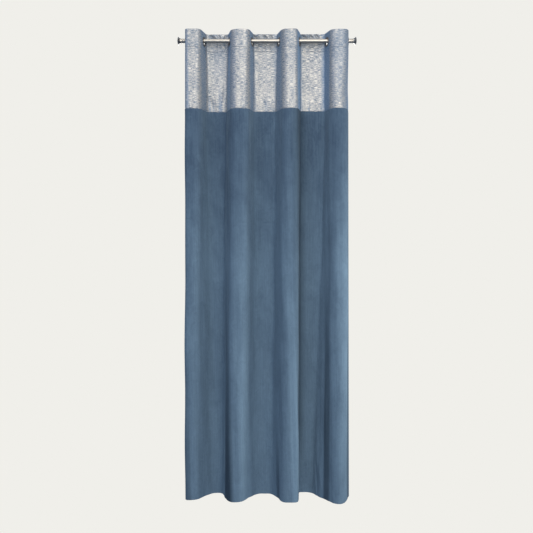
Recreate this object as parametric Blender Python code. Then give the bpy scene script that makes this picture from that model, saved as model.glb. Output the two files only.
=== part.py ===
"""Eyelet curtain of blue velvet with a silvery header, hung on a plain metal rod.

Metres, +Z up, the room side of the curtain towards -Y. The origin lies on the rod's
axis at mid-length. The cloth is one width of 1.40 m that runs to and fro across the
rod, through eight eyelets, in four folds in front of the rod and three behind it.
"""

import math
from dataclasses import dataclass
from functools import lru_cache

import bmesh
import bpy
import numpy as np

MM = 0.001

# Cloth as it was cut: its width, and the heights of its edges from the rod's axis
CUT_WIDTH = 1.400
TOP_Z = 0.046
SEAM_Z = -0.371
HEM_Z = -2.444
HEADER_THICKNESS = 1.6 * MM
VELVET_THICKNESS = 2.4 * MM
SEAM_GAP = 0.3 * MM

# Rod and finials
ROD_RADIUS = 11.0 * MM
ROD_LENGTH = 0.907
ROD_CHAMFER = 0.8 * MM
ROD_SIDES = 24
SOCKET_RADIUS = 8.0 * MM
SOCKET_DEPTH = 20.0 * MM
SPIGOT_RADIUS = 7.7 * MM
SPIGOT_LENGTH = 18.0 * MM
FINIAL_GAP = 0.3 * MM
FLARE_LENGTH = 20.0 * MM
FLARE_RADIUS = 21.0 * MM
FLARE_POWER = 2.4
DOME_HEIGHT = 5.0 * MM

# Eyelets: a ring of two flanges with the cloth in the groove between them
EYELET_COUNT = 8
EYELET_MARGIN = 0.049
EYELET_PITCH = (CUT_WIDTH - 2 * EYELET_MARGIN) / (EYELET_COUNT - 1)
EYELET_BORE = 16.5 * MM
EYELET_SLEEVE = 18.5 * MM
EYELET_RIM = 25.0 * MM
EYELET_CROWN = 2.5 * MM
EYELET_SIDES = 20
GROOVE_GAP = 0.3 * MM
HANG_GAP = 0.4 * MM
EYELET_Z = ROD_RADIUS + HANG_GAP - EYELET_BORE
CLOTH_HOLE = 19.8 * MM

# Mesh of the sheets: each eyelet has a square patch, and the folds have finer steps
PATCH_HALF = 27.0 * MM
BEND_REACH = 22.0 * MM
BEND_STEPS = 3
CREST_STEPS = 4
HEADER_ROWS_BELOW = 5
VELVET_COLUMNS = 120
VELVET_ROWS = 9
ARC_STEPS = 9
PATCH_STEPS = 4
HOLE_SIDES = 4 * PATCH_STEPS
DEPTH_HALVINGS = 40

# Below this height the folds start to change from the eyelets' form to the hem's
BAND_Z = -0.036


@dataclass(frozen=True)
class Eyelet:
    """Where an eyelet sits on the rod, and how far its cloth leans there and at the seam."""

    x: float
    lean_degrees: float
    seam_lean_degrees: float


@dataclass(frozen=True)
class Fold:
    """One fold: its two corners' radii at the eyelets, seam and hem, and places at the hem.

    The flare is the power by which its corners turn to the hem's form on the way down,
    so that a fold with a large flare spreads only near the hem.
    """

    top_radii: tuple
    seam_radii: tuple
    hem_radii: tuple
    hem_x: tuple
    hem_y: float
    flare: float


EYELETS = (
    Eyelet(-0.4315, 0.0, 0.0),
    Eyelet(-0.3370, 15.0, 12.0),
    Eyelet(-0.2006, 14.0, 19.0),
    Eyelet(-0.0803, 16.0, 9.0),
    Eyelet(0.0642, 16.0, 21.0),
    Eyelet(0.1740, 15.0, 13.0),
    Eyelet(0.3210, 20.0, 17.0),
    Eyelet(0.4315, 0.0, 10.0),
)

# From the left, a fold in front of the rod and one behind it by turns
FOLDS = (
    Fold((0.014, 0.026), (0.014, 0.030), (0.014, 0.070), (-0.4370, -0.3830), -0.036, 0.75),
    Fold((0.008, 0.008), (0.008, 0.008), (0.070, 0.028), (-0.2950, -0.2430), 0.080, 0.75),
    Fold((0.033, 0.022), (0.048, 0.026), (0.030, 0.060), (-0.2020, -0.1400), -0.068, 0.75),
    Fold((0.005, 0.005), (0.005, 0.005), (0.070, 0.040), (-0.0560, 0.0280), 0.070, 0.75),
    Fold((0.040, 0.014), (0.042, 0.024), (0.040, 0.016), (0.0850, 0.1640), -0.072, 0.75),
    Fold((0.005, 0.005), (0.005, 0.005), (0.014, 0.055), (0.1720, 0.2330), 0.094, 2.00),
    Fold((0.040, 0.030), (0.044, 0.050), (0.045, 0.034), (0.3540, 0.4020), -0.094, 2.00),
)
HEM_LEFT_EDGE = (-0.4270, 0.034)
HEM_RIGHT_EDGE = (0.4400, 0.030)


def clear_scene():
    """Remove every object of the open scene."""
    for item in list(bpy.data.objects):
        bpy.data.objects.remove(item, do_unlink=True)


def make_material(name, colour, roughness, metallic=0.0, sheen=0.0):
    """Return a Principled material with a linear RGB colour."""
    material = bpy.data.materials.new(name)
    material.use_nodes = True
    shader = material.node_tree.nodes["Principled BSDF"]
    shader.inputs["Base Color"].default_value = (*colour, 1.0)
    shader.inputs["Roughness"].default_value = roughness
    shader.inputs["Metallic"].default_value = metallic
    shader.inputs["Sheen Weight"].default_value = sheen
    material.diffuse_color = (*colour, 1.0)
    return material


def add_object(name, mesh, material):
    """Link a mesh into the scene as a named object with one material."""
    if not mesh.materials:
        mesh.materials.append(material)
    item = bpy.data.objects.new(name, mesh)
    bpy.context.collection.objects.link(item)
    return item


# Form of the cloth
def corner_saving(radius, lean):
    """Length that an arc saves on the sharp corner of a flank that leans by this angle."""
    turn = math.pi / 2 - lean
    return radius * (2 * math.tan(turn / 2) - turn)


def eyelet_corners(leans, radii):
    """Fold corners under the eyelets, as seen from above, with the cloth's side edges.

    The flanks pass below the eyelets at the leans given, in degrees. A fold is as deep as
    it must be for the cloth between two eyelets to measure the eyelets' spacing, with
    corners of the radii given.
    """
    first, last = EYELETS[0], EYELETS[-1]
    leans = [math.radians(lean) for lean in leans]
    lean = leans[0]
    corners = [(first.x - EYELET_MARGIN * math.sin(lean), EYELET_MARGIN * math.cos(lean))]
    for index in range(len(FOLDS)):
        left, right = EYELETS[index], EYELETS[index + 1]
        a, b = leans[index], leans[index + 1]
        spare = EYELET_PITCH - (right.x - left.x)
        spare += corner_saving(radii[2 * index], a) + corner_saving(radii[2 * index + 1], b)
        depth = spare / (1 / math.cos(a) + 1 / math.cos(b) - math.tan(a) - math.tan(b))
        side = -1 if index % 2 == 0 else 1
        corners.append((left.x + depth * math.tan(a), side * depth))
        corners.append((right.x - depth * math.tan(b), side * depth))
    lean = leans[-1]
    corners.append((last.x + EYELET_MARGIN * math.sin(lean), EYELET_MARGIN * math.cos(lean)))
    return np.array(corners)


def hem_corners():
    """Fold corners at the hem, as seen from above, with the cloth's two side edges."""
    corners = [HEM_LEFT_EDGE]
    for fold in FOLDS:
        corners.extend((x, fold.hem_y) for x in fold.hem_x)
    corners.append(HEM_RIGHT_EDGE)
    return np.array(corners)


def rounded_line(corners, radii):
    """Line through the corners, seen from above, with an arc in place of each corner."""
    steps = np.diff(corners, axis=0)
    lengths = np.hypot(steps[:, 0], steps[:, 1])
    ways = steps / lengths[:, None]
    ahead, after = ways[:-1], ways[1:]
    cross = ahead[:, 0] * after[:, 1] - ahead[:, 1] * after[:, 0]
    turn = np.arctan2(np.abs(cross), np.sum(ahead * after, axis=1))
    half = np.tan(turn / 2)
    reach = np.minimum(radii * half, 0.49 * np.minimum(lengths[:-1], lengths[1:]))
    radius = reach / half
    inward = np.sign(cross)[:, None] * np.stack([-ahead[:, 1], ahead[:, 0]], axis=1)
    start = corners[1:-1] - reach[:, None] * ahead
    angle = turn[:, None] * np.linspace(0.0, 1.0, ARC_STEPS)[None, :]
    along = (radius[:, None] * np.sin(angle))[..., None] * ahead[:, None, :]
    across = (radius[:, None] * (1 - np.cos(angle)))[..., None] * inward[:, None, :]
    arcs = start[:, None, :] + along + across
    return np.vstack([corners[:1], arcs.reshape(-1, 2), corners[-1:]])


def run_lengths(line):
    """Length along a line at each of its points."""
    steps = np.hypot(*np.diff(line, axis=0).T)
    return np.concatenate([[0.0], np.cumsum(steps)])


@lru_cache(maxsize=None)
def form_at_eyelets():
    """Corners and their radii where the cloth passes the rod."""
    radii = np.array([radius for fold in FOLDS for radius in fold.top_radii])
    leans = tuple(eyelet.lean_degrees for eyelet in EYELETS)
    return eyelet_corners(leans, radii), radii


@lru_cache(maxsize=None)
def form_at_seam():
    """Corners and their radii where the header meets the velvet."""
    radii = np.array([radius for fold in FOLDS for radius in fold.seam_radii])
    leans = tuple(eyelet.seam_lean_degrees for eyelet in EYELETS)
    return eyelet_corners(leans, radii), radii


def hem_shares(z):
    """How far each corner at this height has changed to its form at the hem."""
    t = min(1.0, max(0.0, (BAND_Z - z) / (BAND_Z - HEM_Z)))
    return t ** np.repeat([fold.flare for fold in FOLDS], 2)


@lru_cache(maxsize=None)
def plan_line(z):
    """The cloth at one height, seen from above: its points and the length up to each.

    The corners turn from the eyelets' form to the seam's, and on the whole way down to
    the hem's. Their depth is scaled until the line is as long as the cloth is wide.
    """
    t = min(1.0, max(0.0, (BAND_Z - z) / (BAND_Z - SEAM_Z)))
    seam_share = t * t * (3 - 2 * t)
    corners, radii = (
        (1 - seam_share) * above + seam_share * below
        for above, below in zip(form_at_eyelets(), form_at_seam())
    )
    shares = hem_shares(z)
    hem_radii = np.array([radius for fold in FOLDS for radius in fold.hem_radii])
    radii = (1 - shares) * radii + shares * hem_radii
    shares = np.concatenate([shares[:1], shares, shares[-1:]])[:, None]
    corners = (1 - shares) * corners + shares * hem_corners()
    low, high = 0.5, 1.5
    for _ in range(DEPTH_HALVINGS):
        scale = (low + high) / 2
        line = rounded_line(corners * [1.0, scale], radii)
        if run_lengths(line)[-1] < CUT_WIDTH:
            low = scale
        else:
            high = scale
    return line, run_lengths(line)


def on_cloth(u, z):
    """Point of the cloth's middle surface, u from its left edge and at height z."""
    line, runs = plan_line(round(z, 6))
    return (float(np.interp(u, runs, line[:, 0])), float(np.interp(u, runs, line[:, 1])), z)


def eyelet_positions():
    """Distances of the eyelets' centres from the cloth's left edge."""
    return [EYELET_MARGIN + index * EYELET_PITCH for index in range(EYELET_COUNT)]


# Sheets of cloth
def header_columns():
    """Column distances of the header: four steps at each eyelet, finer ones in the bends."""
    centres = eyelet_positions()
    patch = np.linspace(-PATCH_HALF, PATCH_HALF, PATCH_STEPS + 1)
    columns = [0.0, (centres[0] - PATCH_HALF) / 2]
    for centre, following in zip(centres, centres[1:]):
        columns.extend(centre + patch)
        left, right = centre + PATCH_HALF, following - PATCH_HALF
        columns.extend(np.linspace(left, left + BEND_REACH, BEND_STEPS + 1)[1:])
        columns.extend(np.linspace(left + BEND_REACH, right - BEND_REACH, CREST_STEPS + 1)[1:])
        columns.extend(np.linspace(right - BEND_REACH, right, BEND_STEPS + 1)[1:-1])
    columns.extend(centres[-1] + patch)
    columns.extend([(centres[-1] + PATCH_HALF + CUT_WIDTH) / 2, CUT_WIDTH])
    return columns


def header_rows():
    """Row heights of the header, from its top edge down, with four steps at the eyelets."""
    patch = list(EYELET_Z - np.linspace(-PATCH_HALF, PATCH_HALF, PATCH_STEPS + 1))
    bottom = SEAM_Z + SEAM_GAP
    return [TOP_Z] + patch + list(np.linspace(patch[-1], bottom, HEADER_ROWS_BELOW + 1)[1:])


def add_grid(mesh_builder, columns, rows):
    """Add the grid's points on the cloth, and return them by row and column."""
    return [[mesh_builder.verts.new(on_cloth(u, z)) for u in columns] for z in rows]


def hole_angles():
    """Directions from an eyelet's centre to the points of its hole."""
    return [2 * math.pi * index / HOLE_SIDES for index in range(HOLE_SIDES)]


def patch_rim():
    """Outer points of an eyelet's square patch, in grid steps across and up."""
    half = PATCH_STEPS // 2
    steps = []
    for angle in hole_angles():
        across = max(-1.0, min(1.0, math.sqrt(2) * math.cos(angle)))
        up = max(-1.0, min(1.0, math.sqrt(2) * math.sin(angle)))
        steps.append((round(half * across), round(half * up)))
    return steps


def add_eyelet_patch(mesh_builder, grid, row, column, centre):
    """Fill the square patch round one eyelet with a ring of faces, leaving its hole open."""
    outer = [grid[row - up][column + across] for across, up in patch_rim()]
    inner = []
    for angle in hole_angles():
        u = centre + CLOTH_HOLE * math.cos(angle)
        z = EYELET_Z + CLOTH_HOLE * math.sin(angle)
        inner.append(mesh_builder.verts.new(on_cloth(u, z)))
    for index in range(HOLE_SIDES):
        following = (index + 1) % HOLE_SIDES
        mesh_builder.faces.new((outer[index], outer[following], inner[following], inner[index]))


def finish_sheet(name, mesh_builder, thickness, material):
    """Make the sheet an object and give it its thickness, half on either side."""
    loose = [vert for vert in mesh_builder.verts if not vert.link_faces]
    bmesh.ops.delete(mesh_builder, geom=loose, context="VERTS")
    bmesh.ops.recalc_face_normals(mesh_builder, faces=mesh_builder.faces)
    mesh = bpy.data.meshes.new(name)
    mesh_builder.to_mesh(mesh)
    mesh_builder.free()
    mesh.shade_smooth()
    item = add_object(name, mesh, material)
    solidify = item.modifiers.new("Thickness", "SOLIDIFY")
    solidify.thickness = thickness
    solidify.offset = 0.0
    solidify.use_even_offset = True
    return item


def make_header(material):
    """Silvery header panel with its eight eyelet holes."""
    columns, rows = header_columns(), header_rows()
    builder = bmesh.new()
    grid = add_grid(builder, columns, rows)
    half = PATCH_STEPS / 2
    centre_row = int(np.argmin(np.abs(np.array(rows) - EYELET_Z)))
    patches = {}
    for centre in eyelet_positions():
        column = int(np.argmin(np.abs(np.array(columns) - centre)))
        patches[column] = centre
    for row in range(len(rows) - 1):
        for column in range(len(columns) - 1):
            beside = any(abs(column + 0.5 - middle) < half for middle in patches)
            if beside and abs(row + 0.5 - centre_row) < half:
                continue
            builder.faces.new((
                grid[row][column],
                grid[row + 1][column],
                grid[row + 1][column + 1],
                grid[row][column + 1],
            ))
    for column, centre in patches.items():
        add_eyelet_patch(builder, grid, centre_row, column, centre)
    return finish_sheet("header_panel", builder, HEADER_THICKNESS, material)


def make_velvet(material):
    """Velvet panel from the seam under the header down to the hem."""
    columns = np.linspace(0.0, CUT_WIDTH, VELVET_COLUMNS + 1)
    rows = np.linspace(SEAM_Z, HEM_Z, VELVET_ROWS + 1)
    builder = bmesh.new()
    grid = add_grid(builder, columns, rows)
    for upper, lower in zip(grid, grid[1:]):
        for column in range(VELVET_COLUMNS):
            builder.faces.new((
                upper[column],
                lower[column],
                lower[column + 1],
                upper[column + 1],
            ))
    return finish_sheet("velvet_panel", builder, VELVET_THICKNESS, material)


# Turned metal pieces
def turned_mesh(name, profile, sides, closed):
    """Turn a profile of (radius, distance along the axis) points round the local Z axis.

    The profile starts at +Y. A closed profile makes a ring, and an open one has both of
    its ends on the axis.
    """
    builder = bmesh.new()
    points = [builder.verts.new((0.0, radius, along)) for radius, along in profile]
    edges = [builder.edges.new(pair) for pair in zip(points, points[1:])]
    if closed:
        edges.append(builder.edges.new((points[-1], points[0])))
    bmesh.ops.spin(
        builder,
        geom=points + edges,
        axis=(0.0, 0.0, 1.0),
        cent=(0.0, 0.0, 0.0),
        steps=sides,
        angle=2 * math.pi,
        use_merge=True,
    )
    bmesh.ops.remove_doubles(builder, verts=builder.verts, dist=1e-6)
    bmesh.ops.recalc_face_normals(builder, faces=builder.faces)
    mesh = bpy.data.meshes.new(name)
    builder.to_mesh(mesh)
    builder.free()
    mesh.shade_smooth()
    mesh.set_sharp_from_angle(angle=math.radians(35))
    return mesh


def eyelet_profile():
    """Closed profile of an eyelet: a sleeve with a rounded flange on either side."""
    groove = HEADER_THICKNESS / 2 + GROOVE_GAP
    flange = [
        (EYELET_SLEEVE, groove),
        (EYELET_RIM, groove + 0.2 * EYELET_CROWN),
        (EYELET_RIM - 3.0 * MM, groove + EYELET_CROWN),
        (EYELET_BORE + 1.2 * MM, groove + 0.8 * EYELET_CROWN),
        (EYELET_BORE, groove + 0.2 * EYELET_CROWN),
    ]
    return flange + [(radius, -along) for radius, along in reversed(flange)]


def make_eyelets(material):
    """Eight eyelets, each square to the cloth that it holds and hung on the rod."""
    mesh = turned_mesh("eyelet", eyelet_profile(), EYELET_SIDES, closed=True)
    eyelets = []
    for number, u in enumerate(eyelet_positions(), start=1):
        before = on_cloth(u - EYELET_SLEEVE, EYELET_Z)
        beyond = on_cloth(u + EYELET_SLEEVE, EYELET_Z)
        eyelet = add_object(f"eyelet_{number}", mesh, material)
        eyelet.location = on_cloth(u, EYELET_Z)
        heading = math.atan2(beyond[1] - before[1], beyond[0] - before[0])
        eyelet.rotation_euler = (math.pi / 2, 0.0, heading)
        eyelets.append(eyelet)
    return eyelets


def make_rod(material):
    """Rod along X, with a socket for a finial in each end."""
    half = ROD_LENGTH / 2
    right_end = [
        (ROD_RADIUS, half - ROD_CHAMFER),
        (ROD_RADIUS - ROD_CHAMFER, half),
        (SOCKET_RADIUS, half),
        (SOCKET_RADIUS, half - SOCKET_DEPTH),
        (0.0, half - SOCKET_DEPTH),
    ]
    left_end = [(radius, -along) for radius, along in reversed(right_end)]
    mesh = turned_mesh("rod", left_end + right_end, ROD_SIDES, closed=False)
    rod = add_object("rod", mesh, material)
    rod.rotation_euler = (0.0, math.pi / 2, 0.0)
    return rod


def finial_profile():
    """Profile of a finial: spigot, trumpet flare, rim and slightly domed end."""
    profile = [
        (0.0, -SPIGOT_LENGTH),
        (SPIGOT_RADIUS, -SPIGOT_LENGTH),
        (SPIGOT_RADIUS, 0.0),
        (ROD_RADIUS - ROD_CHAMFER, 0.0),
    ]
    for t in np.linspace(0.05, 1.0, 6):
        radius = ROD_RADIUS + (FLARE_RADIUS - ROD_RADIUS) * t ** FLARE_POWER
        profile.append((radius, t * FLARE_LENGTH))
    for angle in np.radians([20.0, 50.0, 90.0]):
        radius = (FLARE_RADIUS - ROD_CHAMFER) * math.cos(angle)
        profile.append((radius, FLARE_LENGTH + DOME_HEIGHT * math.sin(angle)))
    profile[-1] = (0.0, FLARE_LENGTH + DOME_HEIGHT)
    return profile


def make_finials(material):
    """The two finials, each with its spigot in the end of the rod."""
    mesh = turned_mesh("finial", finial_profile(), ROD_SIDES, closed=False)
    finials = []
    for name, side in (("finial_left", -1), ("finial_right", 1)):
        finial = add_object(name, mesh, material)
        finial.location = (side * (ROD_LENGTH / 2 + FINIAL_GAP), 0.0, 0.0)
        finial.rotation_euler = (0.0, side * math.pi / 2, 0.0)
        finials.append(finial)
    return finials


def main():
    """Build the curtain, its eyelets and its rod."""
    clear_scene()
    velvet = make_material("blue velvet", (0.080, 0.127, 0.195), 0.85, sheen=0.6)
    silvery = make_material("cloth with metallic yarn", (0.480, 0.515, 0.545), 0.50, metallic=0.25)
    nickel = make_material("polished nickel", (0.620, 0.600, 0.570), 0.20, metallic=1.0)
    steel = make_material("satin steel", (0.560, 0.560, 0.550), 0.28, metallic=1.0)
    make_header(silvery)
    make_velvet(velvet)
    make_eyelets(nickel)
    make_rod(steel)
    make_finials(steel)


main()
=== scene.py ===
"""Looks of the velvet eyelet curtain on its rod.

The curtain is one width of cloth, a silvery header over blue velvet, that runs to and
fro across the rod through eight eyelets. Each cloth is a closed sheet worked out from
the cloth's form, with its seam, hems, stitches and creases as real relief. The metal
pieces are turned profiles. Metres, +Z up, the room side towards -Y, the origin on the
rod's axis at mid-length.
"""

from __future__ import annotations

import logging
import math
from dataclasses import dataclass, field
from enum import Enum
from functools import cached_property
from typing import Any

import bpy
import numpy as np
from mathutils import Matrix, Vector

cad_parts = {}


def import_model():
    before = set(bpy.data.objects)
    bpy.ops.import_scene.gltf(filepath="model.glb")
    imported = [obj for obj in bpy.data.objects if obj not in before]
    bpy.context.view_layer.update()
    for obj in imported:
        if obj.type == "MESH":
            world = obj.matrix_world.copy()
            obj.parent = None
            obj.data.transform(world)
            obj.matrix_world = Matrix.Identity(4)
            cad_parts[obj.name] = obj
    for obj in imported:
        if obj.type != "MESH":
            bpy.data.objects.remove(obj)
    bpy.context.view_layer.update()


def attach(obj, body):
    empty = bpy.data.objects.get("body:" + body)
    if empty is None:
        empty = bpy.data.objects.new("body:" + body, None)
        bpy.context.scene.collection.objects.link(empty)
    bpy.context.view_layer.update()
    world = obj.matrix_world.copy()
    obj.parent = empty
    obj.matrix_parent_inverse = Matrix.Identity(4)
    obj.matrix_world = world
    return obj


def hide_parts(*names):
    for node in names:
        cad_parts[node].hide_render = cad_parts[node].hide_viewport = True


LOG = logging.getLogger("curtain")

MM = 0.001
BODY = "root"
FLAT_MAP = "cloth"

# Range that most of a noise's values lie in
NOISE_SPREAD = (0.3, 0.7)

# Width of a crease at its ends, as a share of its width in the middle
CREASE_ENDS = 0.6

Array = np.ndarray
Socket = bpy.types.NodeSocket
Inputs = dict[str | int, Any] | tuple[Any, ...]


def rows_of(kind: type, *rows: tuple[float, ...]) -> tuple[Any, ...]:
    """One of a kind for each row of its numbers."""
    return tuple(kind(*row) for row in rows)


# Cloth form


@dataclass(frozen=True)
class EyeletPlace:
    """Where an eyelet sits on the rod, and how far its cloth leans there and at the seam."""

    x: float
    lean_degrees: float
    seam_lean_degrees: float


@dataclass(frozen=True)
class Fold:
    """One fold: its two corners' radii at the eyelets, seam and hem, and places at the hem.

    The flare is the power by which its corners turn to the hem's form on the way down,
    so that a fold with a large flare spreads only near the hem.
    """

    top_radii: tuple[float, float]
    seam_radii: tuple[float, float]
    hem_radii: tuple[float, float]
    hem_x: tuple[float, float]
    hem_y: float
    flare: float


@dataclass(frozen=True)
class Crease:
    """A soft trough (negative height) or ridge in the cloth.

    The middle is u from the left edge and at height z. The crease runs for its length
    at slant degrees from upright, positive leaning to the right at its top.
    """

    u: float
    z: float
    length: float
    width: float
    height: float
    slant: float

    def relief(self, u: Array, z: Array) -> Array:
        """Height that the crease adds to the cloth.

        It is a bell across its width and a bell along its length, and narrows towards
        its ends.

        Args:
            u: Distances from the cloth's left edge.
            z: Heights.

        Returns:
            The crease's heights.
        """
        slant = math.radians(self.slant)
        du, dz = u - self.u, z - self.z
        t = (du * math.sin(slant) + dz * math.cos(slant)) / (self.length / 2)
        across = du * math.cos(slant) - dz * math.sin(slant)
        width = self.width / 2 * (CREASE_ENDS + (1 - CREASE_ENDS) * bump(t))
        return self.height * bump(across / width) * bump(t)


def creases(*rows: tuple[float, ...]) -> tuple[Crease, ...]:
    """Creases from rows of u, z, length, width and height in millimetres, and the slant."""
    return rows_of(Crease, *([value * MM for value in row[:-1]] + [row[-1]] for row in rows))


EYELET_PLACES = rows_of(
    EyeletPlace,
    (-0.4315, 0.0, 0.0), (-0.3370, 15.0, 12.0), (-0.2006, 14.0, 19.0),
    (-0.0803, 16.0, 9.0), (0.0642, 16.0, 21.0), (0.1740, 15.0, 13.0),
    (0.3210, 20.0, 17.0), (0.4315, 0.0, 10.0),
)

# From the left, a fold in front of the rod and one behind it by turns
FOLDS = (
    Fold((0.014, 0.026), (0.014, 0.030), (0.014, 0.070), (-0.4370, -0.3830), -0.036, 0.75),
    Fold((0.008, 0.008), (0.008, 0.008), (0.070, 0.028), (-0.2950, -0.2430), 0.080, 0.75),
    Fold((0.033, 0.022), (0.048, 0.026), (0.030, 0.060), (-0.2020, -0.1400), -0.068, 0.75),
    Fold((0.005, 0.005), (0.005, 0.005), (0.070, 0.040), (-0.0560, 0.0280), 0.070, 0.75),
    Fold((0.040, 0.014), (0.042, 0.024), (0.040, 0.016), (0.0850, 0.1640), -0.072, 0.75),
    Fold((0.005, 0.005), (0.005, 0.005), (0.014, 0.055), (0.1720, 0.2330), 0.094, 2.00),
    Fold((0.040, 0.030), (0.044, 0.050), (0.045, 0.034), (0.3540, 0.4020), -0.094, 2.00),
)


@dataclass(frozen=True)
class Drape:
    """Form in which the one width of cloth hangs, from the eyelets down to the hem.

    A place seen from above is a complex number, x to the right and y to the back.
    """

    cut_width: float = 1.400
    top_z: float = 0.046
    seam_z: float = -0.371
    hem_z: float = -2.444
    band_z: float = -0.036
    eyelet_z: float = -0.0051
    eyelet_margin: float = 0.049
    hem_left_edge: complex = -0.4270 + 0.034j
    hem_right_edge: complex = 0.4400 + 0.030j
    places: tuple[EyeletPlace, ...] = EYELET_PLACES
    folds: tuple[Fold, ...] = FOLDS
    arc_steps: int = 13
    arc_reach: float = 0.49
    depth_scales: tuple[float, float] = (0.5, 1.5)
    halvings: int = 36
    table_rows: int = 240
    table_columns: int = 1401

    @property
    def pitch(self) -> float:
        """Cloth between the centres of two eyelets."""
        return (self.cut_width - 2 * self.eyelet_margin) / (len(self.places) - 1)

    @property
    def eyelet_u(self) -> Array:
        """Distances of the eyelets' centres from the cloth's left edge."""
        return self.eyelet_margin + self.pitch * np.arange(len(self.places))

    @cached_property
    def radii(self) -> Array:
        """Corner radii in rows for the eyelets, the seam and the hem, two for each fold."""
        folds = [(fold.top_radii, fold.seam_radii, fold.hem_radii) for fold in self.folds]
        return np.swapaxes(folds, 0, 1).reshape(3, -1)

    def eyelet_corners(self, degrees: list[float], radii: Array) -> Array:
        """Fold corners under the eyelets, seen from above, with the cloth's side edges.

        A fold is as deep as it must be for the cloth between two eyelets to measure
        their pitch: depth = (pitch - chord + what the arcs save) / (sec a + sec b -
        tan a - tan b), with a and b the leans of its two flanks.

        Args:
            degrees: Lean of the cloth under each eyelet.
            radii: Radii of the corners' arcs.

        Returns:
            Two places for each fold and one for each side edge.
        """
        x = np.array([place.x for place in self.places])
        lean = np.radians(degrees)
        a, b = lean[:-1], lean[1:]
        turn = math.pi / 2 - np.stack([a, b], axis=1)
        saved = np.sum(radii.reshape(-1, 2) * (2 * np.tan(turn / 2) - turn), axis=1)
        spare = self.pitch - np.diff(x) + saved
        depth = spare / (1 / np.cos(a) + 1 / np.cos(b) - np.tan(a) - np.tan(b))
        side = np.where(np.arange(len(depth)) % 2 == 0, -1j, 1j)
        left = x[:-1] + depth * (side + np.tan(a))
        right = x[1:] + depth * (side - np.tan(b))
        inner = np.stack([left, right], axis=1).ravel()
        outward = 1j * np.exp(1j * lean[[0, -1]] * np.array([1.0, -1.0]))
        edges = x[[0, -1]] + self.eyelet_margin * outward
        return np.concatenate([edges[:1], inner, edges[1:]])

    def upper_form(self, z: Array) -> tuple[Array, Array]:
        """Fold corners and radii without the hem's part, from the eyelets' to the seam's.

        Args:
            z: Heights, from the eyelet band down.

        Returns:
            The corners and the radii, in a row for each height.
        """
        top, seam, _ = self.radii
        steep = self.eyelet_corners([place.lean_degrees for place in self.places], top)
        leaning = self.eyelet_corners([place.seam_lean_degrees for place in self.places], seam)
        share = smooth_step((self.band_z - z) / (self.band_z - self.seam_z))[:, None]
        radii = (1 - share) * top + share * seam
        return (1 - share) * steep + share * leaning, radii

    @cached_property
    def hem_corners(self) -> Array:
        """Fold corners at the hem, seen from above, with the cloth's side edges."""
        inner = [complex(x, fold.hem_y) for fold in self.folds for x in fold.hem_x]
        return np.array([self.hem_left_edge, *inner, self.hem_right_edge])

    def rounded(self, corners: Array, radii: Array) -> Array:
        """Put an arc in place of each corner of many lines at once.

        An arc of radius r that turns by t starts r tan(t / 2) before its corner, but
        not past its share of the shorter side.

        Args:
            corners: Lines of corners, (rows, corners).
            radii: Radius of each inner corner, (rows, corners - 2).

        Returns:
            Lines of places, (rows, places).
        """
        steps = np.diff(corners, axis=1)
        lengths = np.abs(steps)
        ways = steps / lengths
        ahead = ways[:, :-1]
        turn = np.angle(ways[:, 1:] / ahead)
        half = np.tan(turn / 2)
        side = np.minimum(lengths[:, :-1], lengths[:, 1:])
        reach = np.minimum(radii * np.abs(half), self.arc_reach * side)
        angle = turn[..., None] * np.linspace(0.0, 1.0, self.arc_steps)
        arcs = (ahead * reach / half)[..., None] * 1j * (1 - np.exp(1j * angle))
        arcs = arcs + (corners[:, 1:-1] - reach * ahead)[..., None]
        arcs = arcs.reshape(len(corners), -1)
        return np.concatenate([corners[:, :1], arcs, corners[:, -1:]], axis=1)

    @cached_property
    def table(self) -> tuple[Array, Array]:
        """Heights, and the cloth's place at each height and each millimetre of its width.

        Each corner turns to its form at the hem by a share t^flare, with t its way down
        from the eyelet band. The folds' depth at each height is scaled, by halving,
        until the line seen from above is as long as the cloth is wide.
        """
        below = np.linspace(self.band_z, self.hem_z, self.table_rows)
        t = (self.band_z - below) / (self.band_z - self.hem_z)
        share = t[:, None] ** np.repeat([fold.flare for fold in self.folds], 2)
        corners, radii = self.upper_form(below)
        radii = (1 - share) * radii + share * self.radii[2]
        share = np.concatenate([share[:, :1], share, share[:, -1:]], axis=1)
        corners = (1 - share) * corners + share * self.hem_corners
        low, high = (np.full((len(below), 1), scale) for scale in self.depth_scales)
        for _ in range(self.halvings):
            scale = (low + high) / 2
            lines = self.rounded(corners.real + 1j * scale * corners.imag, radii)
            runs = np.cumsum(np.abs(np.diff(lines, axis=1)), axis=1)
            short = runs[:, -1:] < self.cut_width
            low, high = np.where(short, scale, low), np.where(short, high, scale)
        runs = np.concatenate([np.zeros_like(low), runs], axis=1)
        u = np.linspace(0.0, self.cut_width, self.table_columns)
        return below, np.array([np.interp(u, run, line) for run, line in zip(runs, lines)])

    def plan(self, u: Array, z: Array) -> Array:
        """Place of points of the cloth's middle surface, seen from above.

        Args:
            u: Distances from the cloth's left edge.
            z: Heights, of the same shape.

        Returns:
            The places, read between the four nearest entries of the table.
        """
        heights, rows = self.table
        last_row, last_column = self.table_rows - 1, self.table_columns - 1
        row = (heights[0] - z) / (heights[0] - heights[-1]) * last_row
        row = np.clip(row, 0, last_row - 1e-4)
        column = np.clip(u / self.cut_width * last_column, 0, last_column - 1e-4)
        r, c = row.astype(int), column.astype(int)
        fr, fc = row - r, column - c
        upper = (1 - fc) * rows[r, c] + fc * rows[r, c + 1]
        lower = (1 - fc) * rows[r + 1, c] + fc * rows[r + 1, c + 1]
        return (1 - fr) * upper + fr * lower

    def front(self, u: Array, z: Array) -> Array:
        """Direction in which the cloth faces the room, square to its plan."""
        step = 2 * MM
        across = self.plan(np.minimum(u + step, self.cut_width), z)
        across = across - self.plan(np.maximum(u - step, 0.0), z)
        return -1j * across / np.abs(across)

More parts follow.
